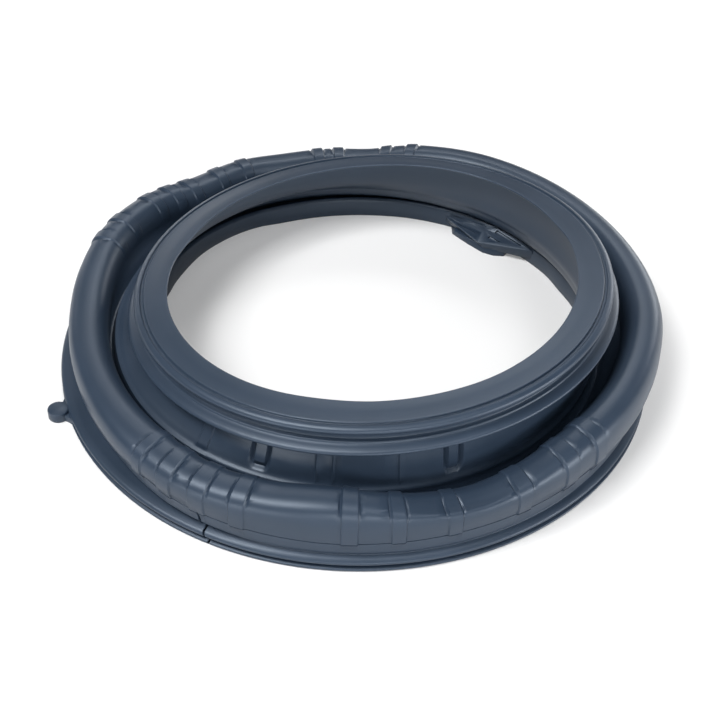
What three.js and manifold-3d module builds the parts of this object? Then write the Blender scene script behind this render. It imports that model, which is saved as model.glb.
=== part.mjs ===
// Door boot of a front-loading washing machine, lying tub side down and door side up.
// It is one soft rubber moulding: a tub flange, a folded bellows and a ring with the door lip.
// Millimetres, +Z up. The front of the part faces -Y, and angles run from +X towards +Y.
// It is drawn round the axis of the tub flange, then set with its bounding box over the origin.

import * as THREE from 'three';
import { mergeVertices } from 'three/addons/utils/BufferGeometryUtils.js';
import { ConvexGeometry } from 'three/addons/geometries/ConvexGeometry.js';
import Module from 'manifold-3d';

// Tub flange: the widest ring, which the wire clamp presses on the mouth of the tub
const TUB_EDGE_R = 204.5;
const CLAMP_SLOT_R = 199.5;
const CLAMP_SLOT_LOW_Z = 2.6;
const CLAMP_SLOT_WIDTH = 2.6;
const FLANGE_SHOULDER_Z = 8.4;
const BEAD_R = 200.8;
const BEAD_BOTTOM_Z = 14.2;
const PARTING_Z = 21;

// Inner rim below the bellows, joined to the tub flange by a flat web
const RIM_R = 163;
const RIM_RIDGE_R = 166;
const RIM_RIDGE_Z = 14.5;
const WEB_TOP_Z = 12.5;
const SKIN = 3;

// Bellows: one round fold outside, one valley inside, then the sleeve up to the door ring
const FOLD_MIDDLE_Z = 30;
const FOLD_INNER_HALF = 13;
const FOLD_SQUARENESS = 2.8;
const VALLEY_R = 168;
const VALLEY_Z = 20;
const SLEEVE_TOP_R = 156.5;
const SLEEVE_TOP_Z = 49;

// Door ring: a lower flange and a bead hold the edge of the cabinet panel between them
const PANEL_FLANGE_R = 166.3;
const PANEL_FLANGE_Z = 53.2;
const PANEL_GROOVE_R = 157;
const PANEL_GROOVE_Z = 60;
const PANEL_BEAD_R = 161.4;
const PANEL_BEAD_Z = 66.5;
const LIP_GROOVE_R = 155.8;
const LIP_ROOT_Z = 69.3;
const LIP_EDGE_R = 139.2;
const LIP_EDGE_Z = 72.3;
const LIP_THICK = 1.6;

// The soft bellows lets the door ring sit off centre and leaning
const RING_SHIFT = new THREE.Vector2(10.8, -0.2);
const RING_LEAN = new THREE.Vector2(0.0701, -0.0503);
const RIM_SHIFT = new THREE.Vector2(6.3, 1.9);

// How the fold lies round the ring: angle in degrees, then the radius and the height of its
// crest, then the radius of its outer wall
const FOLD_KEYS = [
  [0, 196.5, 52, 212],
  [30, 196, 53, 211.5],
  [60, 194.5, 52.5, 210],
  [76, 190.5, 50, 205.5],
  [82, 187.5, 48, 202],
  [88, 183, 45.5, 199.5],
  [98, 183, 46, 199],
  [108, 182.5, 45.5, 199],
  [119, 185, 46.5, 200.5],
  [131, 183, 46, 199.5],
  [143, 189, 48.5, 204],
  [157, 190.5, 48, 205],
  [170, 186.5, 45, 201],
  [184, 182.5, 43, 197],
  [205, 183, 43.5, 196.3],
  [228, 188, 44, 201],
  [242, 191, 43, 202],
  [254, 188, 45, 201],
  [268, 185, 48, 201],
  [282, 187.5, 45.5, 201],
  [293, 190.5, 43.5, 201.5],
  [304, 189, 45.5, 202],
  [316, 188, 48.5, 203.5],
  [332, 191, 50, 206],
  [348, 194, 51.5, 209],
];

// How far the bead under the fold is drawn in, by angle: on the left the fold leans inwards
const BEAD_DRAW_KEYS = [
  [0, 0],
  [150, 0],
  [172, 1.4],
  [188, 5.4],
  [204, 6.6],
  [219, 6.2],
  [228, 3.4],
  [236, 0.8],
  [250, 0],
];

// Stiffening bands across the fold: middle angle and width, both in degrees. A stretch is the
// first and the last point, counted along the outer face from the bead, that its bands cover.
const FOLD_BAND_LIFT = 0.9;
const FOLD_BAND_STRETCH = [1, 7];
const FOLD_BANDS = [
  [77.8, 2.4],
  [83.7, 2.4],
  [95, 2.4],
  [100, 2.4],
  [118.5, 2.4],
  [125.5, 2.4],
  [133.5, 2.4],
  [138.5, 2.4],
  [144, 2.4],
  [153.5, 2.4],
  [160, 2.4],
  [228, 2.1],
  [234.4, 3.3],
  [241.5, 3.6],
  [249.7, 2.6],
  [269.9, 3],
  [278.6, 2.5],
  [288, 2.4],
  [300.8, 3.6],
  [313.3, 3.5],
  [322.6, 3.1],
];

// Bands that stand out of the sleeve above the valley, at the front
const SLEEVE_BAND_LIFT = 1.6;
const SLEEVE_BAND_STRETCH = [11, 14];
const SLEEVE_BANDS = [
  [234.7, 3],
  [249.2, 3.9],
  [264.2, 3.5],
  [278.9, 3.6],
  [292.2, 3.4],
];

// Locating lug outside the tub flange
const LUG_ANGLE = 201;
const LUG_REACH_R = 210.4;
const LUG_R = 7;
const LUG_HEIGHT = 7;
const LUG_STEP = 2;
const LUG_ROOT_HALF_ANGLE = 4.5;
const LUG_TIP_HALF_ANGLE = 1.5;

// Keel-shaped guide inside the rim, with two pockets in its face
const GUIDE_FROM = 38.5;
const GUIDE_TO = 65;
const GUIDE_NOSE_ANGLE = 52.3;
const GUIDE_NOSE_R = 152.2;
const GUIDE_NOSE_Z = 8;
const GUIDE_POCKET_DEPTH = 1.8;

const COLUMNS = 70;
const FULL_TURN = 360;
const RUBBER_COLOUR = '#4c5a68';

const wasm = await Module();
wasm.setup();

// Smooth value of one column of a ring of keys at any angle
function keyValue(keys, angle, column) {
  const turn = ((angle % FULL_TURN) + FULL_TURN) % FULL_TURN;
  let next = keys.findIndex((key) => key[0] > turn);
  if (next < 0) next = 0;
  const before = keys[(next + keys.length - 1) % keys.length];
  const after = keys[next];
  const span = (after[0] - before[0] + FULL_TURN) % FULL_TURN;
  const part = ((turn - before[0] + FULL_TURN) % FULL_TURN) / span;
  const eased = part * part * (3 - 2 * part);
  return before[column] + (after[column] - before[column]) * eased;
}

function beadR(angle) {
  return BEAD_R - keyValue(BEAD_DRAW_KEYS, angle, 1);
}

// A section point lies on a circle round the tub flange's axis, or round a middle that moves with
// the door ring or the rim by a share. The angle is always the one seen from the flange's axis.
function place(point, angle) {
  const [radius, height, ring = 0, rim = 0] = point;
  const turn = THREE.MathUtils.degToRad(angle);
  const towards = new THREE.Vector2(Math.cos(turn), Math.sin(turn));
  const middle = RING_SHIFT.clone().multiplyScalar(ring).addScaledVector(RIM_SHIFT, rim);
  const along = towards.dot(middle);
  const reach = along + Math.sqrt(radius ** 2 - middle.lengthSq() + along ** 2);
  const spot = towards.multiplyScalar(reach);
  const lean = RING_LEAN.dot(spot.clone().sub(middle)) * ring;
  return new THREE.Vector3(spot.x, spot.y, height + lean);
}

// Outer face of the tub flange, from the floor up to the foot of the bellows
function tubFlangeFace(angle) {
  const slotTop = CLAMP_SLOT_LOW_Z + CLAMP_SLOT_WIDTH;
  const bead = beadR(angle);
  return [
    [TUB_EDGE_R - 1, 0],
    [TUB_EDGE_R, 1.2],
    [TUB_EDGE_R - 0.6, CLAMP_SLOT_LOW_Z - 0.3],
    [CLAMP_SLOT_R, CLAMP_SLOT_LOW_Z],
    [CLAMP_SLOT_R, slotTop - 0.2],
    [TUB_EDGE_R - 0.7, slotTop],
    [TUB_EDGE_R - 0.4, FLANGE_SHOULDER_Z - 1.4],
    [TUB_EDGE_R - 1.8, FLANGE_SHOULDER_Z],
    [bead - 5.5, FLANGE_SHOULDER_Z + 1.8],
    [bead - 5.8, BEAD_BOTTOM_Z - 1.6],
    [bead - 1, BEAD_BOTTOM_Z],
    [bead, BEAD_BOTTOM_Z + 1.4],
  ];
}

// Outer face of the bellows at one angle: over the fold, through the valley and up the sleeve
function bellowsFace(angle) {
  const middle = keyValue(FOLD_KEYS, angle, 1);
  const rise = keyValue(FOLD_KEYS, angle, 2) - FOLD_MIDDLE_Z;
  const wall = keyValue(FOLD_KEYS, angle, 3) - middle;
  const face = [[beadR(angle) - 0.2, PARTING_Z]];
  for (const turn of [6, 36, 60, 90, 126, 168]) {
    const across = Math.cos(THREE.MathUtils.degToRad(turn));
    const up = Math.sin(THREE.MathUtils.degToRad(turn));
    const power = 2 / (across > 0 ? FOLD_SQUARENESS : 2);
    const half = across > 0 ? wall : FOLD_INNER_HALF;
    const reach = Math.sign(across) * half * Math.abs(across) ** power;
    face.push([middle + reach, FOLD_MIDDLE_Z + rise * up ** power]);
  }
  face.push([VALLEY_R + 4.5, VALLEY_Z + 4, 0.1]);
  face.push([VALLEY_R, VALLEY_Z, 0.1]);
  face.push([VALLEY_R - 4, VALLEY_Z + 4.5, 0.15]);
  face.push([SLEEVE_TOP_R + 3.5, SLEEVE_TOP_Z - 11, 0.7]);
  face.push([SLEEVE_TOP_R, SLEEVE_TOP_Z, 1]);
  return face;
}

// The same face moved along its own normal, inwards for the hidden side of the skin
function offsetFace(face, distance) {
  return face.map((point, i) => {
    const before = face[Math.max(i - 1, 0)];
    const after = face[Math.min(i + 1, face.length - 1)];
    const along = new THREE.Vector2(after[0] - before[0], after[1] - before[1]).normalize();
    return [point[0] + along.y * distance, point[1] - along.x * distance, point[2]];
  });
}

// Door ring: panel flange, panel groove, bead, fine groove and the flat lip round the door glass
function doorRingFace() {
  return [
    [PANEL_FLANGE_R - 8, PANEL_FLANGE_Z - 2.8, 1],
    [PANEL_FLANGE_R - 0.8, PANEL_FLANGE_Z - 1.4, 1],
    [PANEL_FLANGE_R, PANEL_FLANGE_Z, 1],
    [PANEL_FLANGE_R - 0.8, PANEL_FLANGE_Z + 1.3, 1],
    [PANEL_GROOVE_R + 1.2, PANEL_GROOVE_Z - 3.2, 1],
    [PANEL_GROOVE_R, PANEL_GROOVE_Z, 1],
    [PANEL_GROOVE_R + 0.6, PANEL_BEAD_Z - 3.4, 1],
    [PANEL_BEAD_R - 1.2, PANEL_BEAD_Z - 2, 1],
    [PANEL_BEAD_R, PANEL_BEAD_Z, 1],
    [PANEL_BEAD_R - 1.4, PANEL_BEAD_Z + 2.2, 1],
    [LIP_GROOVE_R + 1.5, LIP_ROOT_Z, 1],
    [LIP_GROOVE_R, LIP_ROOT_Z - 1, 1],
    [LIP_GROOVE_R - 1.5, LIP_ROOT_Z, 1],
    [LIP_EDGE_R, LIP_EDGE_Z, 1],
    [LIP_EDGE_R - 0.1, LIP_EDGE_Z - LIP_THICK, 1],
    [PANEL_GROOVE_R - 5, LIP_ROOT_Z - 3, 1],
    [PANEL_GROOVE_R - SKIN - 0.4, PANEL_GROOVE_Z, 1],
  ];
}

// Web and inner rim below the bellows, then the underside back to the tub flange
function webFace(angle) {
  return [
    [beadR(angle) - 7, WEB_TOP_Z + 3.5],
    [beadR(angle) - 12, WEB_TOP_Z],
    [RIM_RIDGE_R + 7, WEB_TOP_Z, 0, 0.8],
    [RIM_RIDGE_R, RIM_RIDGE_Z, 0, 1],
    [RIM_R + 0.6, RIM_RIDGE_Z - 3, 0, 1],
    [RIM_R, 0, 0, 1],
    [RIM_R + SKIN + 1, 0, 0, 1],
    [RIM_RIDGE_R + 2, WEB_TOP_Z - SKIN - 1, 0, 1],
    [BEAD_R - 10, WEB_TOP_Z - SKIN - 1],
    [BEAD_R - 6, 0],
  ];
}

// The whole closed section at one angle
function section(angle) {
  const bellows = bellowsFace(angle);
  const hidden = offsetFace(bellows, -SKIN).slice(1).reverse();
  return [...tubFlangeFace(angle), ...bellows, ...doorRingFace(), ...hidden, ...webFace(angle)];
}

// Skin stretched between loops of points; an open row of loops gets flat ends
function loft(loops, ends) {
  const count = loops[0].length;
  const index = [];
  const spans = ends ? loops.length - 1 : loops.length;
  for (let i = 0; i < spans; i += 1) {
    const here = i * count;
    const there = ((i + 1) % loops.length) * count;
    for (let j = 0; j < count; j += 1) {
      const k = (j + 1) % count;
      index.push(here + j, there + k, here + k, here + j, there + j, there + k);
    }
  }
  if (ends) {
    const last = (loops.length - 1) * count;
    for (const [a, b, c] of THREE.ShapeUtils.triangulateShape(ends, [])) {
      index.push(a, b, c, last + a, last + c, last + b);
    }
  }
  const geometry = new THREE.BufferGeometry();
  geometry.setFromPoints(loops.flat());
  geometry.setIndex(index);
  return geometry;
}

function bootSkin() {
  const loops = [];
  for (let i = 0; i < COLUMNS; i += 1) {
    const angle = (i * FULL_TURN) / COLUMNS;
    loops.push(section(angle).map((point) => place(point, angle)));
  }
  return loft(loops, null);
}

// A band stands proud of a stretch of the bellows face and is rooted in its skin
function band(middle, width, lift, [from, to]) {
  const outline = (angle) => {
    const stretch = [...tubFlangeFace(angle).slice(-2), ...bellowsFace(angle)];
    const raised = offsetFace(stretch, lift).slice(from, to);
    const rooted = offsetFace(stretch, -SKIN / 2).slice(from, to).reverse();
    return [...raised, ...rooted];
  };
  const loops = [];
  for (const angle of [middle - width / 2, middle + width / 2]) {
    loops.push(outline(angle).map((point) => place(point, angle)));
  }
  const flat = outline(middle).map((point) => new THREE.Vector2(point[0], point[1]));
  return loft(loops, flat);
}

function polar(angle, radius, height) {
  return place([radius, height], angle);
}

function onRim(angle, radius, height) {
  return place([radius, height, 0, 1], angle);
}

// Round stud and the gusset that carries it, rooted behind the clamp slot of the tub flange
function locatingLug() {
  const stud = new THREE.CylinderGeometry(LUG_R, LUG_R, LUG_HEIGHT, 24);
  stud.rotateX(Math.PI / 2);
  const centre = polar(LUG_ANGLE, LUG_REACH_R, LUG_HEIGHT / 2);
  stud.translate(centre.x, centre.y, centre.z);
  const corners = [];
  for (const z of [0, LUG_HEIGHT - LUG_STEP]) {
    for (const side of [-1, 1]) {
      corners.push(polar(LUG_ANGLE + side * LUG_ROOT_HALF_ANGLE, CLAMP_SLOT_R - SKIN / 3, z));
      corners.push(polar(LUG_ANGLE + side * LUG_TIP_HALF_ANGLE, LUG_REACH_R + 1, z));
    }
  }
  return [stud, new ConvexGeometry(corners)];
}

// Corners of the sloping face of the guide
function guideFace() {
  const crown = (GUIDE_FROM + GUIDE_TO) / 2;
  return {
    left: onRim(GUIDE_TO, RIM_RIDGE_R - 1, RIM_RIDGE_Z - 0.5),
    crown: onRim(crown, RIM_RIDGE_R - 1, RIM_RIDGE_Z + 1),
    right: onRim(GUIDE_FROM, RIM_RIDGE_R - 1, RIM_RIDGE_Z - 0.5),
    nose: polar(GUIDE_NOSE_ANGLE, GUIDE_NOSE_R, GUIDE_NOSE_Z),
  };
}

function rimGuide() {
  const face = guideFace();
  const foot = [
    onRim(GUIDE_TO - 3, RIM_R + 1, 0),
    polar(GUIDE_NOSE_ANGLE + 3, GUIDE_NOSE_R + 1.5, 0),
    polar(GUIDE_NOSE_ANGLE - 4, GUIDE_NOSE_R + 0.5, 0),
    polar(GUIDE_NOSE_ANGLE - 9, RIM_R - 1, 0),
    onRim(GUIDE_FROM + 2, RIM_R + 2, 0),
    onRim(GUIDE_TO - 3, RIM_R + 3, 0),
  ];
  return new ConvexGeometry([face.left, face.crown, face.right, face.nose, ...foot]);
}

// A pocket is the triangle between three corners, drawn in and pressed through the face
function guidePocket(corners) {
  const centre = new THREE.Vector3().add(corners[0]).add(corners[1]).add(corners[2]).divideScalar(3);
  const normal = new THREE.Triangle(...corners).getNormal(new THREE.Vector3());
  if (normal.z < 0) normal.negate();
  const points = [];
  for (const corner of corners) {
    const drawn = corner.clone().lerp(centre, 0.3);
    points.push(drawn.clone().addScaledVector(normal, 3));
    points.push(drawn.clone().addScaledVector(normal, -GUIDE_POCKET_DEPTH));
  }
  return new ConvexGeometry(points);
}

function toSolid(geometry) {
  const bare = geometry.clone();
  bare.deleteAttribute('normal');
  bare.deleteAttribute('uv');
  const merged = mergeVertices(bare, 1e-4);
  const mesh = new wasm.Mesh({
    numProp: 3,
    vertProperties: new Float32Array(merged.attributes.position.array),
    triVerts: new Uint32Array(merged.index.array),
  });
  return new wasm.Manifold(mesh);
}

function toGeometry(solid) {
  const mesh = solid.getMesh();
  const geometry = new THREE.BufferGeometry();
  geometry.setAttribute('position', new THREE.BufferAttribute(new Float32Array(mesh.vertProperties), 3));
  geometry.setIndex(new THREE.BufferAttribute(new Uint32Array(mesh.triVerts), 1));
  geometry.computeVertexNormals();
  return geometry;
}

// The bounding box stands on the floor with its middle over the origin
function centreOnFloor(geometry) {
  geometry.computeBoundingBox();
  const { min, max } = geometry.boundingBox;
  geometry.translate(-(min.x + max.x) / 2, -(min.y + max.y) / 2, -min.z);
  return geometry;
}

function doorSeal() {
  const face = guideFace();
  const guide = toSolid(rimGuide())
    .subtract(toSolid(guidePocket([face.left, face.crown, face.nose])))
    .subtract(toSolid(guidePocket([face.crown, face.right, face.nose])));
  let solid = toSolid(bootSkin()).add(guide);
  for (const [middle, width] of FOLD_BANDS) {
    solid = solid.add(toSolid(band(middle, width, FOLD_BAND_LIFT, FOLD_BAND_STRETCH)));
  }
  for (const [middle, width] of SLEEVE_BANDS) {
    solid = solid.add(toSolid(band(middle, width, SLEEVE_BAND_LIFT, SLEEVE_BAND_STRETCH)));
  }
  for (const piece of locatingLug()) {
    solid = solid.add(toSolid(piece));
  }
  const rubber = new THREE.MeshStandardMaterial({ color: RUBBER_COLOUR, roughness: 0.5, metalness: 0 });
  const mesh = new THREE.Mesh(centreOnFloor(toGeometry(solid)), rubber);
  mesh.name = 'door_seal';
  return mesh;
}

const group = new THREE.Group();
group.name = 'washing_machine_door_seal';
group.add(doorSeal());

export default group;
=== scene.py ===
import math
import bpy
from mathutils import Matrix, Vector


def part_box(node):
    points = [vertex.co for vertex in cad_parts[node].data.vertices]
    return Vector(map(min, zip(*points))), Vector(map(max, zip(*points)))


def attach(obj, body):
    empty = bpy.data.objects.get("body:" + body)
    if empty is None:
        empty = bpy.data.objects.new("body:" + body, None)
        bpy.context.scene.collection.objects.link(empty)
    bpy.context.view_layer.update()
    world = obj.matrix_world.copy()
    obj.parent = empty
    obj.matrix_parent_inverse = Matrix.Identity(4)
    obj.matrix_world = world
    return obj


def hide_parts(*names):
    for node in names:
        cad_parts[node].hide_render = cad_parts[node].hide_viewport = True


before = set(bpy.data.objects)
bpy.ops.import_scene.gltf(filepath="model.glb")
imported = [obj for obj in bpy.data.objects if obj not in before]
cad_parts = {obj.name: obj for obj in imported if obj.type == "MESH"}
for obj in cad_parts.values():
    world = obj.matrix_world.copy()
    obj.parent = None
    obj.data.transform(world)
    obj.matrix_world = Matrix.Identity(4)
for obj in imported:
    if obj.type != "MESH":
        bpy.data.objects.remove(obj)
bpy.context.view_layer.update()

# Camera
# A 70 mm lens looks down on the part from the front at 41 degrees, about a metre away, rolled by
# a degree and a half. The small shift sets the part where it lies in the picture.
MM = 0.001
FLANGE_EDGE_R = 204.5
FLANGE_AXIS_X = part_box("door_seal")[0].x / MM + FLANGE_EDGE_R
CAMERA_ELEVATION = math.radians(40.812)
CAMERA_ROLL = math.radians(1.369)
CAMERA_DISTANCE = 993.45

camera_data = bpy.data.cameras.new("photo_camera")
camera_data.lens = 70
camera_data.sensor_width = 36
camera_data.shift_x = 0.0076
camera_data.shift_y = -0.0146
camera_data.clip_start = 0.05
camera = bpy.data.objects.new("photo_camera", camera_data)
bpy.context.scene.collection.objects.link(camera)
towards = Vector((0, -math.cos(CAMERA_ELEVATION), math.sin(CAMERA_ELEVATION)))
level_up = towards.cross(Vector((1, 0, 0)))
rolled_right = Vector((1, 0, 0)) * math.cos(CAMERA_ROLL) + level_up * math.sin(CAMERA_ROLL)
rolled_up = level_up * math.cos(CAMERA_ROLL) - Vector((1, 0, 0)) * math.sin(CAMERA_ROLL)
camera_place = towards * CAMERA_DISTANCE + Vector((FLANGE_AXIS_X, 0, 0))
camera_turn = Matrix((rolled_right, rolled_up, towards)).transposed().to_4x4()
camera.matrix_world = Matrix.Translation(camera_place * MM) @ camera_turn
bpy.context.scene.camera = camera
bpy.context.scene.view_settings.view_transform = "Standard"

# The boot
# One moulding of black-blue EPDM rubber about 3 mm thick, pressed and cured in a steel mould: a
# tub flange with a clamp slot, a bellows with one fold and one valley, and the ring with the lip
# that the door glass presses on. It lies relaxed, so the fold sags and dents round the ring.

# The door ring stands off centre and leans; the rim under the bellows follows it part of the way
RING_SHIFT = Vector((10.8, -0.2))
RING_LEAN = Vector((0.0701, -0.0503))
RIM_SHIFT = Vector((6.3, 1.9))
SKIN = 3.0

# The fold's section, which starts at the top of the outer wall. Its turn runs from 0 degrees at the
# wall over 90 at the crest to 180 inside; dent, bands and creases are placed by it
WALL_TOP_Z = 29
FOLD_MIDDLE_Z = 30.0
FOLD_INNER_HALF = 13.0
FOLD_SQUARENESS = 2.8
FOLD_TURNS = range(2, 177, 6)
DENT_TURN = 70
DENT_SPREAD = 27
DENT_DRAW_IN = 40
BAND_FADE_TURN = 132
BAND_FADE = 40
CREASE_TURN = 62
CREASE_REACH = 40

# Angle in degrees, crest radius, crest height, outer wall radius, dent between crest and shoulder
FOLD_KEYS = [
    (0, 196.5, 52, 212, 0), (30, 196, 53, 211.5, 0), (60, 194.5, 52.5, 210, 0),
    (76, 190.5, 50, 205.5, 0), (82, 187.5, 48, 202, 0), (88, 183, 45.5, 199.5, 0),
    (98, 183, 46, 199, 0), (108, 182.5, 45.5, 199, 0), (119, 185, 46.5, 200.5, 0),
    (131, 183, 46, 199.5, 0), (143, 189, 48.5, 204, 0), (157, 190.5, 48, 205, 0),
    (170, 186.5, 45, 201, 0), (184, 182.5, 43, 197, 0), (205, 182, 43.5, 196.3, 0),
    (228, 183, 44.3, 201, 0), (242, 185.5, 43.5, 202, 0), (254, 184.5, 45, 201, 0),
    (266, 183.5, 47.8, 201, 0), (274, 186.5, 46.6, 201, 0.4), (283, 188, 42.6, 201, 1.7),
    (293, 189.5, 40.0, 201.5, 2), (303, 189, 43.2, 202, 0.6), (316, 188, 48.2, 203.5, 0),
    (332, 191, 50, 206, 0), (348, 194, 51.5, 209, 0),
]

# Radius of the upright wall between the clamp channel and the fold, by angle: it is drawn in on
# the left, where the fold leans over the valley
WALL_KEYS = [(0, 200.8), (150, 200.8), (172, 199.4), (188, 195.4), (204, 194.2), (219, 194.6),
             (228, 197.4), (236, 200), (244, 201), (254, 201.2), (264, 200.8), (300, 200.8)]

# Radius of the soft edges, by angle: the lip's, which waves a little, and the inner rim's, which
# curls inwards at the back left
LIP_KEYS = [(0, 137), (9, 137.5), (20, 136.6), (34, 137.8), (47, 138.7), (61, 139.2), (73, 138.5),
            (86, 137.2), (107, 136.5), (138, 136), (160, 135.6), (172, 137.5), (185, 138.3),
            (198, 139), (236, 139.1), (248, 138.6), (262, 137.6), (276, 138.2), (290, 138.3),
            (305, 138.9), (316, 138.6), (330, 138.3), (345, 137.6)]
RIM_KEYS = [(20, 161.6), (26, 161.4), (33, 163.2), (60, 163.2), (77, 162.7), (86, 161.9),
            (104, 161.8), (112, 162.4), (118, 164.8), (124, 165.4), (130, 164.8), (138, 163),
            (146, 159.4), (152, 157), (158, 154.4), (170, 153), (200, 157), (235, 163),
            (300, 163), (350, 162)]
RIM_PLAIN_R = 163
RIM_RIDGE_SHARE = 0.4

# Height of the mould's parting line on the outer wall, by angle
PARTING_KEYS = [(0, 22), (60, 22), (120, 22), (180, 22), (222, 24), (234, 22.6), (243, 21.6),
                (255, 21.4), (265, 20.6), (272, 21), (290, 21.6), (310, 21.5), (330, 21)]
PARTING_HALF = 0.3
PARTING_FOOT_HALF = 0.06
PARTING_DEPTH = 1.1

# The valley and the sleeve above it: radius, height, share of the ring's shift and of the rim's.
# A thin ridge runs round the sleeve's foot, and between two of the ribs the sleeve stands upright
VALLEY_EDGE = (173, 27)
SLEEVE_PATH = [(172.2, 23.4, 0, 0), (169.8, 20.2, 0, 0), (167.8, 20.8, 0, 0), (166.6, 24, 0, 0),
               (165.9, 27, 0.03, 0), (165.2, 28.8, 0.05, 0), (164.1, 30.2, 0.1, 0),
               (163.1, 31.7, 0.15, 0), (162.3, 33.4, 0.25, 0), (161.5, 35.4, 0.4, 0),
               (159.8, 40, 0.7, 0), (157.9, 44.8, 0.9, 0), (156.9, 48.4, 1, 0)]
SLEEVE_FOOT_R = 165.5
SLEEVE_FOOT_Z = 30.5
SLEEVE_RIDGE_R = 167
SLEEVE_RIDGE_Z = 28.6
SLEEVE_RIDGE_SPREAD = 1.3
SLEEVE_RIDGE_LIFT = 0.9
SLEEVE_EASE_RISE = 2
UPRIGHT_SPAN = (266, 279.6)
UPRIGHT_EASE_IN = 1.5
UPRIGHT_EASE_OUT = 2.5
UPRIGHT_FULL_RISE = 16
UPRIGHT_LIFT = 2.6

# Stiffening bands across the fold, then across the sleeve: middle angle and width in degrees. Then
# the sleeve's thin ribs, and its two panels edged by a U-shaped groove
FOLD_BANDS = [(77.8, 2.4), (83.7, 2.4), (95, 2.4), (100, 2.4), (118.5, 2.4), (125.5, 2.4),
              (133.5, 2.4), (138.5, 2.4), (144, 2.4), (153.5, 2.4), (160, 2.4), (228.85, 2.1),
              (235.5, 3), (242.5, 3.2), (250.2, 2.8), (269.9, 2.9), (278.3, 2.5), (288.2, 2.5),
              (301.6, 2.9), (312.1, 3.1), (319.6, 2.8)]
SLEEVE_BANDS = [(234.7, 3)]
SLEEVE_RIBS = [262.3, 266.0, 280.3]
SLEEVE_PANELS = [(249.2, 3.9), (292.2, 3.4)]
FOLD_BAND_LIFT = 1.0
SLEEVE_BAND_LIFT = 1.0
BAND_EDGE = 0.13
CREASE_OFF = 0.34
CREASE_DEPTH = 1.0
RIB_LIFT = 0.8
RIB_HALF = 0.4
PANEL_R = 161
PANEL_FOOT_Z = 33.4
PANEL_CORNER = 3.0
PANEL_GROOVE_HALF = 1.9
PANEL_GROOVE_DEPTH = 2.4

# How deeply the wall's foot is undercut above the flange, by angle, from 0 to 1: a fine groove at
# the front and right, a wide channel where the wall is drawn in
UNDERCUT_KEYS = [(0, 0), (40, 0), (90, 1), (150, 1), (228, 1), (238, 0.75), (246, 0.4), (256, 0.1),
                 (268, 0), (330, 0)]

# A split in the flange at the front left: angle and height of each corner of its path
SPLIT_PATH = [(242.75, 21.4), (243, 14.2), (244, 9.3), (243.9, 8.3), (244.35, 5.6), (245.2, 5.4),
              (245, 0.8)]
SPLIT_R = 202
SPLIT_INNER_R = 196
SPLIT_TOP_Z = 22
SPLIT_HALF = 0.7
SPLIT_DEPTH = 3


def key_value(keys, angle, column):
    """Smooth value of one column of a ring of keys at any angle."""
    angle %= 360
    count = len(keys)
    after = next((i for i in range(count) if keys[i][0] > angle), 0)
    four = [keys[(after + step) % count] for step in (-2, -1, 0, 1)]
    span = (four[2][0] - four[1][0]) % 360
    part = ((angle - four[1][0]) % 360) / span
    slope_in = (four[2][column] - four[0][column]) / ((four[2][0] - four[0][0]) % 360) * span
    slope_out = (four[3][column] - four[1][column]) / ((four[3][0] - four[1][0]) % 360) * span
    two, three = part * part, part * part * part
    return ((2 * three - 3 * two + 1) * four[1][column] + (three - 2 * two + part) * slope_in
            + (3 * two - 2 * three) * four[2][column] + (three - two) * slope_out)


def rounded(corners):
    """Corners (radius, height, ring share, rim share, softness) with their edges rounded off."""
    points = []
    for i, corner in enumerate(corners):
        soft, here = corner[4], corner[:4]
        if not soft or i in (0, len(corners) - 1):
            points.append(here)
            continue
        ends = []
        for other in (corners[i - 1], corners[i + 1]):
            gap = math.hypot(other[0] - here[0], other[1] - here[1])
            part = min(soft / gap, 0.45)
            ends.append([a + (b - a) * part for a, b in zip(here, other)])
        for t in ((0, 0.5, 1) if soft >= 0.5 else (0, 1)):
            points.append(tuple((1 - t) ** 2 * a + 2 * t * (1 - t) * b + t * t * c
                                for a, b, c in zip(ends[0], here, ends[1])))
    return points


def curve_through(points, parts):
    """Points of a smooth curve through the given ones."""
    curve = []
    for i in range(len(points) - 1):
        a = points[max(i - 1, 0)]
        b, c = points[i], points[i + 1]
        d = points[min(i + 2, len(points) - 1)]
        for k in range(parts):
            t = k / parts
            curve.append(tuple(
                0.5 * (2 * q + (r - p) * t + (2 * p - 5 * q + 4 * r - s) * t * t
                       + (3 * q - p - 3 * r + s) * t ** 3) for p, q, r, s in zip(a, b, c, d)))
    curve.append(points[-1])
    return curve


def moved_out(path, distances):
    """A section path moved along its own normal."""
    out = []
    for i, point in enumerate(path):
        before, after = path[max(i - 1, 0)], path[min(i + 1, len(path) - 1)]
        along = Vector((after[0] - before[0], after[1] - before[1])).normalized()
        out.append((point[0] + along.y * distances[i], point[1] - along.x * distances[i],
                    point[2], point[3]))
    return out


def band_height(angle, bands, edge):
    """How far a band stands out at an angle, from 0 to 1."""
    for middle, width in bands:
        off = abs((angle - middle + 180) % 360 - 180)
        if off < width / 2 + edge:
            part = min(1, (width / 2 + edge - off) / (2 * edge))
            return part * part * (3 - 2 * part)
    return 0


def groove_share(angle, height):
    """How deep the U-shaped groove round a sleeve panel is here, from 0 to 1."""
    deepest = 0
    for middle, width in SLEEVE_PANELS:
        off = abs((angle - middle + 180) % 360 - 180)
        across = math.radians(off - width / 2) * PANEL_R + PANEL_CORNER
        below = PANEL_FOOT_Z - height + PANEL_CORNER
        away = math.hypot(max(across, 0), max(below, 0)) - PANEL_CORNER
        deepest = max(deepest, 1 - (away / PANEL_GROOVE_HALF) ** 2)
    return deepest ** 2


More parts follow.
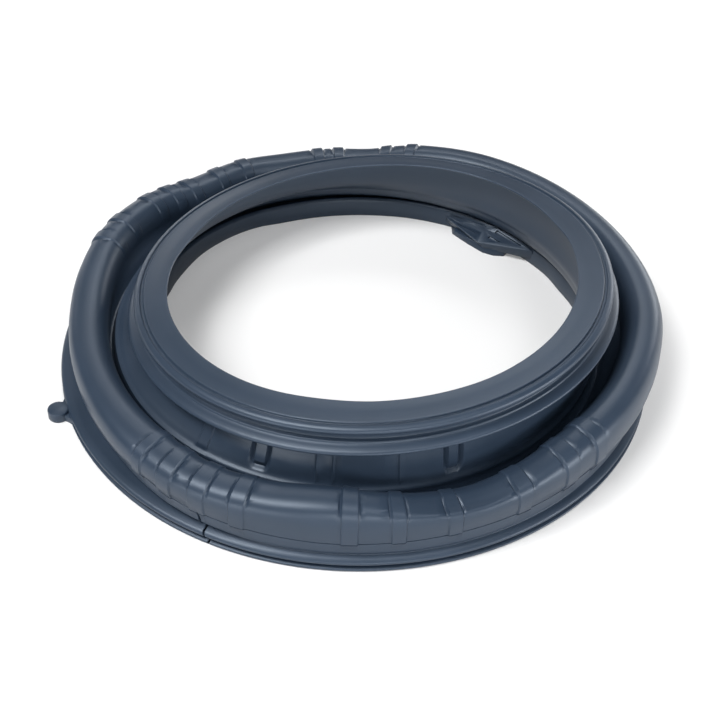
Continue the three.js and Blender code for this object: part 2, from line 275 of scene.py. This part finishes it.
def crease_depth(angle):
    """How deep the rubber is pinched beside a fold band, from 0 to 1."""
    deepest = 0
    for middle, width in FOLD_BANDS:
        off = abs((angle - middle + 180) % 360 - 180) - width / 2 - CREASE_OFF
        deepest = max(deepest, 1 - abs(off) / CREASE_OFF)
    return deepest


def tub_flange_face(angle):
    """The tub flange with its clamp slot, from the floor up to the foot of the outer wall."""
    wall = key_value(WALL_KEYS, angle, 1)
    under = min(1, max(0, key_value(UNDERCUT_KEYS, angle, 1)))
    corners = [(203.6, 0, 0), (204.5, 1.1, 0.6), (204.3, 2.3, 0.4), (199.2, 2.8, 0.3),
               (199.2, 5.0, 0.3), (204.0, 5.5, 0.5), (204.4, 7.0, 0.7), (202.9, 8.5, 0.8),
               (201.4 - 2.4 * under, 9.4, 0.8), (wall - 1.6 - 4 * under, 10.0 + 0.3 * under, 0.6),
               (wall - 1.7 - 4.1 * under, 11.0 + 1.6 * under, 0.6),
               (wall - 1.4 - 3 * under, 11.7 + 2 * under, 0.5),
               (wall - 0.5 - 0.4 * under, 12.2 + 1.9 * under, 0.6),
               (wall, 13.2 + 2.4 * under, 0.8), (wall, 17.8, 0)]
    return rounded([(r, z, 0, 0, soft) for r, z, soft in corners])


def bellows_face(angle):
    """Outer face from the parting line over the fold, through the valley and up the sleeve."""
    crest_r, crest_z, wall_r, dent = (key_value(FOLD_KEYS, angle, k) for k in (1, 2, 3, 4))
    parting = key_value(PARTING_KEYS, angle, 1)
    wall = key_value(WALL_KEYS, angle, 1)
    path = [(wall, parting - PARTING_HALF), (wall - PARTING_DEPTH, parting - PARTING_FOOT_HALF),
            (wall - PARTING_DEPTH, parting + PARTING_FOOT_HALF), (wall, parting + PARTING_HALF)]
    groove_points = len(path)
    weights = [1] * groove_points
    creases = [0] * groove_points
    for part in (0.2, 0.4, 0.6, 0.8):
        eased = part * part * (3 - 2 * part)
        path.append((wall + (wall_r - wall) * eased, parting + (WALL_TOP_Z - parting) * part))
        weights.append(1)
        creases.append(0)
    rise = crest_z - FOLD_MIDDLE_Z
    for turn in FOLD_TURNS:
        across, up = math.cos(math.radians(turn)), math.sin(math.radians(turn))
        power = 2 / FOLD_SQUARENESS if across > 0 else 1
        half = wall_r - crest_r if across > 0 else FOLD_INNER_HALF
        reach = math.copysign(half * abs(across) ** power, across)
        sunk = dent * math.exp(-((turn - DENT_TURN) / DENT_SPREAD) ** 2)
        path.append((crest_r + reach * (1 - sunk / DENT_DRAW_IN),
                     FOLD_MIDDLE_Z + rise * up ** power - sunk))
        fade = max(0, 1 - (turn - BAND_FADE_TURN) / BAND_FADE)
        weights.append(1 if turn < BAND_FADE_TURN else fade)
        creases.append(max(0, 1 - ((turn - CREASE_TURN) / CREASE_REACH) ** 2))
    path = [point + (0, 0) for point in path]
    half_way = (path[-1][0] * 0.5 + VALLEY_EDGE[0] * 0.5, VALLEY_EDGE[1], 0, 0)
    path += curve_through([half_way] + SLEEVE_PATH, 2)
    fold_lift = FOLD_BAND_LIFT * band_height(angle, FOLD_BANDS, BAND_EDGE)
    pinch = CREASE_DEPTH * crease_depth(angle)
    sleeve_lift = SLEEVE_BAND_LIFT * band_height(angle, SLEEVE_BANDS, BAND_EDGE)
    sleeve_lift += RIB_LIFT * max(0, max(1 - abs(angle - rib) / RIB_HALF for rib in SLEEVE_RIBS))
    upright = min(1, max(0, (angle - UPRIGHT_SPAN[0]) / UPRIGHT_EASE_IN),
                  max(0, (UPRIGHT_SPAN[1] - angle) / UPRIGHT_EASE_OUT))
    lifts = [fold_lift * weight - pinch * crease for weight, crease in zip(weights, creases)]
    for radius, height in [point[:2] for point in path[len(lifts):]]:
        lift = 0
        if radius < SLEEVE_RIDGE_R:
            off = (height - SLEEVE_RIDGE_Z) / SLEEVE_RIDGE_SPREAD
            lift = SLEEVE_RIDGE_LIFT * math.exp(-off ** 2)
        if radius < SLEEVE_FOOT_R:
            above = max(0, height - SLEEVE_FOOT_Z)
            lift += sleeve_lift * min(1, above / SLEEVE_EASE_RISE)
            lift -= PANEL_GROOVE_DEPTH * groove_share(angle, height)
            lift += UPRIGHT_LIFT * upright * min(1, above / UPRIGHT_FULL_RISE)
        lifts.append(lift)
    moved = moved_out(path, lifts)
    for i in range(groove_points):
        moved[i] = (path[i][0] + fold_lift, *path[i][1:])
    return moved, path


def door_ring_face(angle):
    """The door ring: panel flange, panel groove, bead, and the lip with its underside."""
    edge = key_value(LIP_KEYS, angle, 1)
    corners = [(157.4, 50, 1.0), (165.0, 51.3, 0.5), (166.3, 52.2, 0.5), (166.3, 53.4, 0.5),
               (165.2, 54.6, 0.8), (162.0, 56.0, 0), (159.9, 56.5, 0.2), (159.5, 57.7, 0.3),
               (158.5, 57.9, 0.3), (157.0, 58.6, 0.5), (156.8, 62.4, 0.8), (159.6, 64.3, 0.4),
               (161.1, 65.0, 0.3), (161.5, 66.2, 0.3), (160.6, 67.9, 0.6), (158.9, 68.9, 0.6),
               (157.3, 69.2, 0.25), (156.8, 67.9, 0.25), (155.0, 68.0, 0.25), (154.6, 69.5, 0.25),
               (153.6, 69.5, 0.4), (146.6, 70.9, 0),
               (edge + 0.8, 72.3, 0.3), (edge, 72.1, 0.3), (edge, 70.9, 0.3), (150.5, 67.4, 1.0),
               (153.4, 65.0, 1.2), (153.6, 60, 0), (153.6, 54, 0)]
    return rounded([(r, z, 1, 0, soft) for r, z, soft in corners])


def web_face(angle):
    """The web under the bellows, the inner rim and the underside back to the flange."""
    wall = key_value(WALL_KEYS, angle, 1)
    rim = key_value(RIM_KEYS, angle, 1)
    ridge = RIM_PLAIN_R + (rim - RIM_PLAIN_R) * RIM_RIDGE_SHARE
    corners = [(wall - 7, 16, 0, 0, 0), (wall - 12, 12.5, 0, 0, 1.5), (173, 12.5, 0, 0.8, 1.0),
               (ridge + 5, 14.2, 0, 1, 0.6), (ridge + 3, 14.9, 0, 1, 0.6),
               (ridge + 1.2, 13.2, 0, 1, 0.6), ((rim + ridge) / 2 + 0.3, 8, 0, 1, 0),
               (rim, 0.6, 0, 1, 0.4), (rim + 0.6, 0, 0, 1, 0), (rim + 3.8, 0, 0, 1, 0),
               (ridge + 5, 8.4, 0, 1, 0.8), (190.6, 8.4, 0, 0, 1.5),
               (193.6, 5, 0, 0, 0.6), (194.2, 0, 0, 0, 0)]
    return rounded(corners)


def boot_section(angle):
    """The whole closed section at one angle; its unseen inner side takes every second point."""
    bellows, bare = bellows_face(angle)
    hidden = moved_out(bare, [-SKIN] * len(bare))[5::2]
    return (tub_flange_face(angle) + bellows + door_ring_face(angle) + hidden[::-1]
            + web_face(angle))


def split_depth(angle, radius, height):
    """How deep the split is pressed in at a point of the flange."""
    here = Vector((math.radians(angle) * SPLIT_R, height))
    if radius < SPLIT_INNER_R or height > SPLIT_TOP_Z:
        return 0
    nearest = math.inf
    for (a0, z0), (a1, z1) in zip(SPLIT_PATH, SPLIT_PATH[1:]):
        start = Vector((math.radians(a0) * SPLIT_R, z0))
        along = Vector((math.radians(a1) * SPLIT_R, z1)) - start
        part = min(1, max(0, (here - start).dot(along) / along.length_squared))
        nearest = min(nearest, (here - start - along * part).length)
    return SPLIT_DEPTH * max(0, 1 - nearest / SPLIT_HALF)


def boot_point(point, angle):
    """Where a point of the section lies, at this angle as seen from the flange's axis."""
    radius, height, ring, rim = point
    shift = RING_SHIFT * ring + RIM_SHIFT * rim
    outwards = Vector((math.cos(math.radians(angle)), math.sin(math.radians(angle))))
    along = outwards.dot(shift)
    reach = along + math.sqrt(radius ** 2 - shift.length_squared + along ** 2)
    place = outwards * reach
    lean = RING_LEAN.dot(place - shift) * ring
    return Vector((place.x + FLANGE_AXIS_X, place.y, height + lean)) * MM


# Columns of the mesh: every 1.5 degrees, on each edge of each band, and close together at the split
COLUMN_STEP = 1.5
PANEL_COLUMN_STEP = 0.34
SPLIT_COLUMNS_FROM = 242.4
SPLIT_COLUMN_STEP = 0.12
SPLIT_COLUMN_COUNT = 28
columns = set()
for middle, width in FOLD_BANDS:
    for side in (-1, 1):
        edge = middle + side * width / 2
        columns.update(edge + side * off
                       for off in (-BAND_EDGE, BAND_EDGE, CREASE_OFF, 2 * CREASE_OFF))
for middle, width in SLEEVE_BANDS:
    for side in (-1, 1):
        edge = middle + side * width / 2
        columns.update((edge - BAND_EDGE, edge + BAND_EDGE))
for middle, width in SLEEVE_PANELS:
    for side in (-1, 1):
        edge = middle + side * width / 2
        columns.update(edge + PANEL_COLUMN_STEP * step for step in range(-3, 4))
for rib in SLEEVE_RIBS:
    columns.update(rib + RIB_HALF * share for share in (-1, -0.5, 0, 0.5, 1))
band_columns = sorted(columns)
columns.update(SPLIT_COLUMNS_FROM + SPLIT_COLUMN_STEP * step for step in range(SPLIT_COLUMN_COUNT))
for step in range(round(360 / COLUMN_STEP)):
    angle = step * COLUMN_STEP
    if min(abs(angle - edge) for edge in band_columns) > 0.4 and not 242 < angle < 246:
        columns.add(angle)
columns = sorted(columns)

bpy.ops.object.select_all(action="DESELECT")
first_section = boot_section(0)
bpy.ops.mesh.primitive_circle_add(vertices=len(first_section), radius=0.01)
boot = bpy.context.object
boot.name = "boot_moulding"
boot.data.name = "boot_moulding"
order = boot.data.attributes.new("section_order", "INT", "POINT")
for vertex, point in zip(boot.data.vertices, first_section):
    vertex.co = Vector((point[0], 0, point[1])) * MM
    order.data[vertex.index].value = vertex.index
bpy.ops.object.mode_set(mode="EDIT")
bpy.ops.mesh.select_all(action="SELECT")
bpy.ops.mesh.spin(steps=len(columns), angle=2 * math.pi, center=(0, 0, 0), axis=(0, 0, 1))
bpy.ops.mesh.select_all(action="SELECT")
bpy.ops.mesh.remove_doubles(threshold=0.000002)
bpy.ops.object.mode_set(mode="OBJECT")
sections = [boot_section(angle) for angle in columns]
# How deep each point lies in the split, from 0 to 1, kept for the rubber's painted shade there
boot.data.attributes.new("split_painted_shade", "FLOAT", "POINT")
order = boot.data.attributes["section_order"]
gap = boot.data.attributes["split_painted_shade"]
for vertex in boot.data.vertices:
    turn = math.atan2(vertex.co.y, vertex.co.x) / (2 * math.pi) * len(columns)
    column = round(turn) % len(columns)
    angle = columns[column]
    point = sections[column][order.data[vertex.index].value]
    sunk = split_depth(angle, point[0], point[1])
    gap.data[vertex.index].value = min(1, sunk / (SPLIT_DEPTH / 2))
    vertex.co = boot_point((point[0] - sunk, *point[1:]), angle)
bpy.ops.object.mode_set(mode="EDIT")
bpy.ops.mesh.select_all(action="SELECT")
bpy.ops.mesh.normals_make_consistent(inside=False)
bpy.ops.object.mode_set(mode="OBJECT")
boot.data.attributes.remove(boot.data.attributes["section_order"])
bpy.ops.object.shade_smooth_by_angle(angle=math.radians(38))


def linear(hex_colour):
    """sRGB hex to the linear colour that a shader takes."""
    parts = [int(hex_colour[i:i + 2], 16) / 255 for i in (1, 3, 5)]
    return tuple(c / 12.92 if c <= 0.04045 else ((c + 0.055) / 1.055) ** 2.4 for c in parts) + (1,)


def add_node(tree, kind, settings=(), links=()):
    """Adds a node; settings are attribute or socket values, links are (socket, source)."""
    node = tree.nodes.new(kind)
    for name, value in dict(settings).items():
        if isinstance(name, int) or name in node.inputs:
            node.inputs[name].default_value = value
        else:
            setattr(node, name, value)
    for name, source in dict(links).items():
        tree.links.new(source, node.inputs[name])
    return node


# EPDM rubber, moulded: a dark blue-grey with a satin skin. The mould's fine blasting leaves a dull
# grain of about 0.6 mm, handling leaves faint paler clouds 40 mm across, and the cured surface
# reflects softly, with a little grey bloom where it has been rubbed. In the split, which the mesh
# marks with an attribute, shade is painted: the colour goes near black and the gloss goes out.
rubber = bpy.data.materials.new("moulded_epdm_rubber")
rubber.use_nodes = True
tree = rubber.node_tree
tree.nodes.clear()
where = add_node(tree, "ShaderNodeTexCoord").outputs["Object"]
clouds = add_node(tree, "ShaderNodeTexNoise", {"Scale": 1 / 0.04, "Detail": 4.0, "Roughness": 0.55},
                  {"Vector": where})
cloud_tone = add_node(tree, "ShaderNodeValToRGB", links={"Fac": clouds.outputs["Fac"]})
cloud_tone.color_ramp.elements[0].position = 0.3
cloud_tone.color_ramp.elements[0].color = linear("#273444")
cloud_tone.color_ramp.elements[1].position = 0.75
cloud_tone.color_ramp.elements[1].color = linear("#2d3a4b")
grain = add_node(tree, "ShaderNodeTexNoise", {"Scale": 1 / 0.0006, "Detail": 2.0},
                 {"Vector": where})
dull = add_node(tree, "ShaderNodeMapRange", {"To Min": 0.36, "To Max": 0.46},
                {"Value": clouds.outputs["Fac"]})
relief = add_node(tree, "ShaderNodeBump", {"Strength": 0.12, "Distance": 0.0001},
                  {"Height": grain.outputs["Fac"]})
# Painted shade in the split: its share turns the colour near black and takes the gloss away
split = add_node(tree, "ShaderNodeAttribute", {"attribute_name": "split_painted_shade"})
tone = add_node(tree, "ShaderNodeMix", {"data_type": "RGBA", 7: linear("#06080b")},
                {0: split.outputs["Fac"], 6: cloud_tone.outputs["Color"]})
shine = add_node(tree, "ShaderNodeMapRange", {"To Min": 0.5, "To Max": 0.0},
                 {"Value": split.outputs["Fac"]})
skin = add_node(tree, "ShaderNodeBsdfPrincipled",
                {"IOR": 1.6, "Specular Tint": linear("#e2eefc")},
                {"Base Color": tone.outputs[2], "Roughness": dull.outputs["Result"],
                 "Specular IOR Level": shine.outputs["Result"],
                 "Normal": relief.outputs["Normal"]})
add_node(tree, "ShaderNodeOutputMaterial", links={"Surface": skin.outputs["BSDF"]})
boot.data.materials.append(rubber)
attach(boot, "root")
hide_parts("door_seal")

# The guide inside the rim
# A keel-shaped block moulded with the rim at the back right, of the same rubber. It keeps laundry
# from lodging there; its sloping face has shallow pockets with ribs that save rubber in the mould.
RIM_FACE_R = 163.3
GUIDE_NOSE = (152.2, 52.3, 8.0)
POCKET_DEPTH = 2.2
POCKET_CUT_ABOVE = 1.5


def rim_point(angle, height, inwards=0):
    """A point on the rim's inner face, by its angle as seen from the flange's axis."""
    return boot_point((RIM_FACE_R - inwards, height, 0, 1), angle)


def flange_point(radius, angle, height):
    """A point by its radius and angle as seen from the flange's axis."""
    return boot_point((radius, height, 0, 0), angle)


def solid_between(name, upper, lower):
    """A closed block between two outlines with as many corners."""
    bpy.ops.object.select_all(action="DESELECT")
    bpy.ops.mesh.primitive_circle_add(vertices=len(upper), radius=0.01, fill_type="NGON")
    block = bpy.context.object
    block.name = name
    block.data.name = name
    drop = (0, 0, -0.01)
    for vertex, place in zip(block.data.vertices, upper):
        vertex.co = place
    bpy.ops.object.mode_set(mode="EDIT")
    bpy.ops.mesh.select_all(action="SELECT")
    bpy.ops.mesh.extrude_region_move(TRANSFORM_OT_translate={"value": drop})
    bpy.ops.object.mode_set(mode="OBJECT")
    for vertex in block.data.vertices:
        if vertex.index >= len(upper):
            above = min(range(len(upper)),
                        key=lambda i: (upper[i] + Vector(drop) - vertex.co).length)
            vertex.co = lower[above]
    bpy.ops.object.mode_set(mode="EDIT")
    bpy.ops.mesh.select_all(action="SELECT")
    bpy.ops.mesh.normals_make_consistent(inside=False)
    bpy.ops.object.mode_set(mode="OBJECT")
    return block


def rounded_edges(piece, width):
    """Bevels a piece's sharp edges and shades it smooth between them."""
    bevel = piece.modifiers.new("edges", "BEVEL")
    bevel.width = width
    bevel.segments = 2
    bevel.limit_method = "ANGLE"
    bevel.angle_limit = math.radians(35)
    bpy.context.view_layer.objects.active = piece
    bpy.ops.object.modifier_apply(modifier=bevel.name)
    bpy.ops.object.select_all(action="DESELECT")
    piece.select_set(True)
    bpy.ops.object.shade_smooth_by_angle(angle=math.radians(40))


def cut_out(piece, cutter):
    """Cuts one piece out of another and deletes the cutter."""
    cut = piece.modifiers.new("cut", "BOOLEAN")
    cut.operation = "DIFFERENCE"
    cut.solver = "EXACT"
    cut.object = cutter
    bpy.context.view_layer.objects.active = piece
    bpy.ops.object.modifier_apply(modifier=cut.name)
    bpy.data.objects.remove(cutter)


nose = flange_point(*GUIDE_NOSE)
ridge_left, ridge_mid = rim_point(65.1, 14.1), rim_point(52.6, 15.3)
spoke_right, ridge_right = rim_point(50.3, 15.6), rim_point(41.4, 14.4)
far_left, far_right = rim_point(66.3, 8.8, -1), rim_point(38.2, 12.6)
face = [ridge_left, ridge_mid, spoke_right, ridge_right, far_right, nose, far_left]
under = [rim_point(65.1, 4, -1.5), rim_point(52.6, 4, -1.5), rim_point(50.3, 4, -1.5),
         rim_point(41.4, 4, -1.5), rim_point(38.2, 4, -1), flange_point(153.9, 50.6, 4.2),
         rim_point(66.3, 4, -2)]
guide = solid_between("rim_guide", face, under)


def on_left_face(along, down):
    """A point on the face left of the spoke, from its far corner and from the ridge."""
    top, bottom = ridge_left.lerp(ridge_mid, along), far_left.lerp(nose, along)
    return top.lerp(bottom, down)


def on_right_face(along, down):
    """A point on the face right of the spoke, from the ridge down to the nose."""
    return spoke_right.lerp(far_right, along).lerp(nose, down)


def press_pocket(patch, corners):
    """Presses a pocket into the guide's face, by its corners on a patch of that face."""
    outline = [patch(*corner) for corner in corners]
    normal = (outline[1] - outline[0]).cross(outline[2] - outline[0]).normalized()
    normal *= math.copysign(MM, normal.z)
    raised = [place + normal * POCKET_CUT_ABOVE for place in outline]
    sunk = [place - normal * POCKET_DEPTH for place in outline]
    cut_out(guide, solid_between("pocket", raised, sunk))


press_pocket(on_left_face, [(0.08, 0.10), (0.93, 0.09), (0.93, 0.24), (0.12, 0.36)])
press_pocket(on_left_face, [(0.16, 0.56), (0.92, 0.37), (0.90, 0.50), (0.24, 0.72)])
press_pocket(on_left_face, [(0.34, 0.80), (0.89, 0.60), (0.86, 0.86), (0.60, 0.88)])
press_pocket(on_right_face, [(0.05, 0.08), (0.78, 0.05), (0.84, 0.16), (0.05, 0.22)])
press_pocket(on_right_face, [(0.10, 0.46), (0.62, 0.44), (0.62, 0.52), (0.08, 0.58)])
rounded_edges(guide, 0.35 * MM)

heel_top = [rim_point(62.5, 5, -1), flange_point(158.5, 61.2, 5), flange_point(155.8, 57, 5),
            flange_point(154.4, 50.6, 5), flange_point(157, 47.3, 5), flange_point(161, 45.2, 5),
            rim_point(45.5, 5, -1)]
heel_foot = [rim_point(64, 0, -1), flange_point(160, 62.3, 0), flange_point(154.8, 56.4, 0),
             flange_point(152.6, 50.6, 0), flange_point(155.2, 47.4, 0),
             flange_point(160.4, 45.2, 0), rim_point(45.5, 0, -1)]
heel = solid_between("rim_guide_heel", heel_top, heel_foot)
rounded_edges(heel, 0.5 * MM)
for piece in (guide, heel):
    piece.data.materials.append(rubber)
    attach(piece, "root")
    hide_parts("door_seal")

# The locating lug
# A round stud on a tab outside the tub flange, at the left, moulded with it in the same rubber. The
# fitter turns the boot until the stud meets its mark on the tub.
LUG_AT = (210.4, 201.0)
LUG_R = 7.0
LUG_HEIGHT = 7.2
TAB_HEIGHT = 5.0
TAB_HALF_ANGLE = 4.3
TAB_TIP_HALF_ANGLE = 1.55
TAB_HOLLOW = 1.7
TAB_STEPS = 6
TAB_ROOT_R = 202.5

tab_edge = []
for side in (-1, 1):
    half = []
    for step in range(TAB_STEPS + 1):
        out = step / TAB_STEPS
        half_width = TAB_HALF_ANGLE * (1 - out) ** TAB_HOLLOW + TAB_TIP_HALF_ANGLE * out
        half.append((TAB_ROOT_R + (LUG_AT[0] - TAB_ROOT_R) * out, LUG_AT[1] + side * half_width))
    tab_edge += half if side < 0 else half[::-1]
tab = solid_between("locating_lug_tab", [flange_point(*p, TAB_HEIGHT) for p in tab_edge],
                    [flange_point(*p, 0) for p in tab_edge])
rounded_edges(tab, 0.5 * MM)
bpy.ops.object.select_all(action="DESELECT")
stud_foot = flange_point(*LUG_AT, LUG_HEIGHT / 2)
bpy.ops.mesh.primitive_cylinder_add(vertices=64, radius=LUG_R * MM, depth=LUG_HEIGHT * MM,
                                    location=stud_foot)
stud = bpy.context.object
stud.name = "locating_lug_stud"
stud.data.name = "locating_lug_stud"
bpy.ops.object.transform_apply(location=True)
rounded_edges(stud, 0.7 * MM)
for piece in (tab, stud):
    piece.data.materials.append(rubber)
    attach(piece, "root")
    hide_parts("door_seal")

# Floor
# A plain white studio table. It takes the part's shadow, and the camera and the rubber's gloss see
# it at full white. Its bounced light is that of a mid grey, so the folds stay dark inside.
bpy.ops.object.select_all(action="DESELECT")
bpy.ops.mesh.primitive_plane_add(size=30, location=(0, 0, 0))
floor = bpy.context.object
floor.name = "studio_floor"
TABLE_GLOW = 0.21
table = bpy.data.materials.new("white_studio_table")
table.use_nodes = True
tree = table.node_tree
tree.nodes.clear()
seen = add_node(tree, "ShaderNodeLightPath")
mirrored = add_node(tree, "ShaderNodeMath", {"operation": "MAXIMUM"},
                    {0: seen.outputs["Is Glossy Ray"], 1: seen.outputs["Is Transmission Ray"]})
shown = add_node(tree, "ShaderNodeMath", {"operation": "MAXIMUM"},
                 {0: seen.outputs["Is Camera Ray"], 1: mirrored.outputs["Value"]})
tone = add_node(tree, "ShaderNodeMix", {"data_type": "RGBA", 6: linear("#9a9a9a"),
                                        7: linear("#e3e3e3")},
                {0: shown.outputs["Value"]})
matt = add_node(tree, "ShaderNodeBsdfDiffuse", links={"Color": tone.outputs[2]})
level = add_node(tree, "ShaderNodeMath", {"operation": "MULTIPLY", 1: TABLE_GLOW},
                 {0: shown.outputs["Value"]})
glow = add_node(tree, "ShaderNodeEmission", {"Color": (1, 1, 1, 1)},
                {"Strength": level.outputs["Value"]})
both = add_node(tree, "ShaderNodeAddShader", links={0: matt.outputs["BSDF"],
                                                    1: glow.outputs["Emission"]})
add_node(tree, "ShaderNodeOutputMaterial", links={"Surface": both.outputs["Shader"]})
floor.data.materials.append(table)

# Lamps
# Soft boxes round the table: the key high on the left with a smaller one under it, which throw the
# shadow, one on the right, one behind, and low ones all round for the walls and the folds.
LAMP_REACH = 3.0


def soft_box(name, azimuth, elevation, width, height, power):
    """Hangs a soft box at the reach of the lamps, facing the part, angles in degrees."""
    lamp = bpy.data.lights.new(name, "AREA")
    lamp.shape = "RECTANGLE"
    lamp.size, lamp.size_y = width, height
    lamp.energy = power
    holder = bpy.data.objects.new(name, lamp)
    bpy.context.scene.collection.objects.link(holder)
    turn, rise = math.radians(azimuth), math.radians(elevation)
    towards_lamp = Vector((math.cos(turn) * math.cos(rise), math.sin(turn) * math.cos(rise),
                           math.sin(rise)))
    holder.location = towards_lamp * LAMP_REACH
    holder.rotation_euler = (-towards_lamp).to_track_quat("-Z", "Y").to_euler()


soft_box("key_left", 212, 63, 1.3, 1.0, 58)
soft_box("left_box", 198, 50, 0.7, 0.5, 18)
soft_box("right_box", 308, 63, 1.1, 1.1, 15)
soft_box("back_box", 86, 48, 1.8, 0.9, 21)
soft_box("low_front_box", 277, 18, 1.8, 0.8, 29)
soft_box("low_left_box", 232, 6, 1.6, 0.5, 20)
soft_box("low_right_box", 334, 9, 2.0, 0.6, 48)
soft_box("low_right_back_box", 50, 10, 1.6, 0.6, 22)
soft_box("low_back_left_box", 118, 9, 1.5, 0.6, 9)
world = bpy.data.worlds.new("dark_room")
bpy.context.scene.world = world
world.use_nodes = True
room = world.node_tree.nodes["Background"]
room.inputs["Color"].default_value = (1, 1, 1, 1)
room.inputs["Strength"].default_value = 0.04
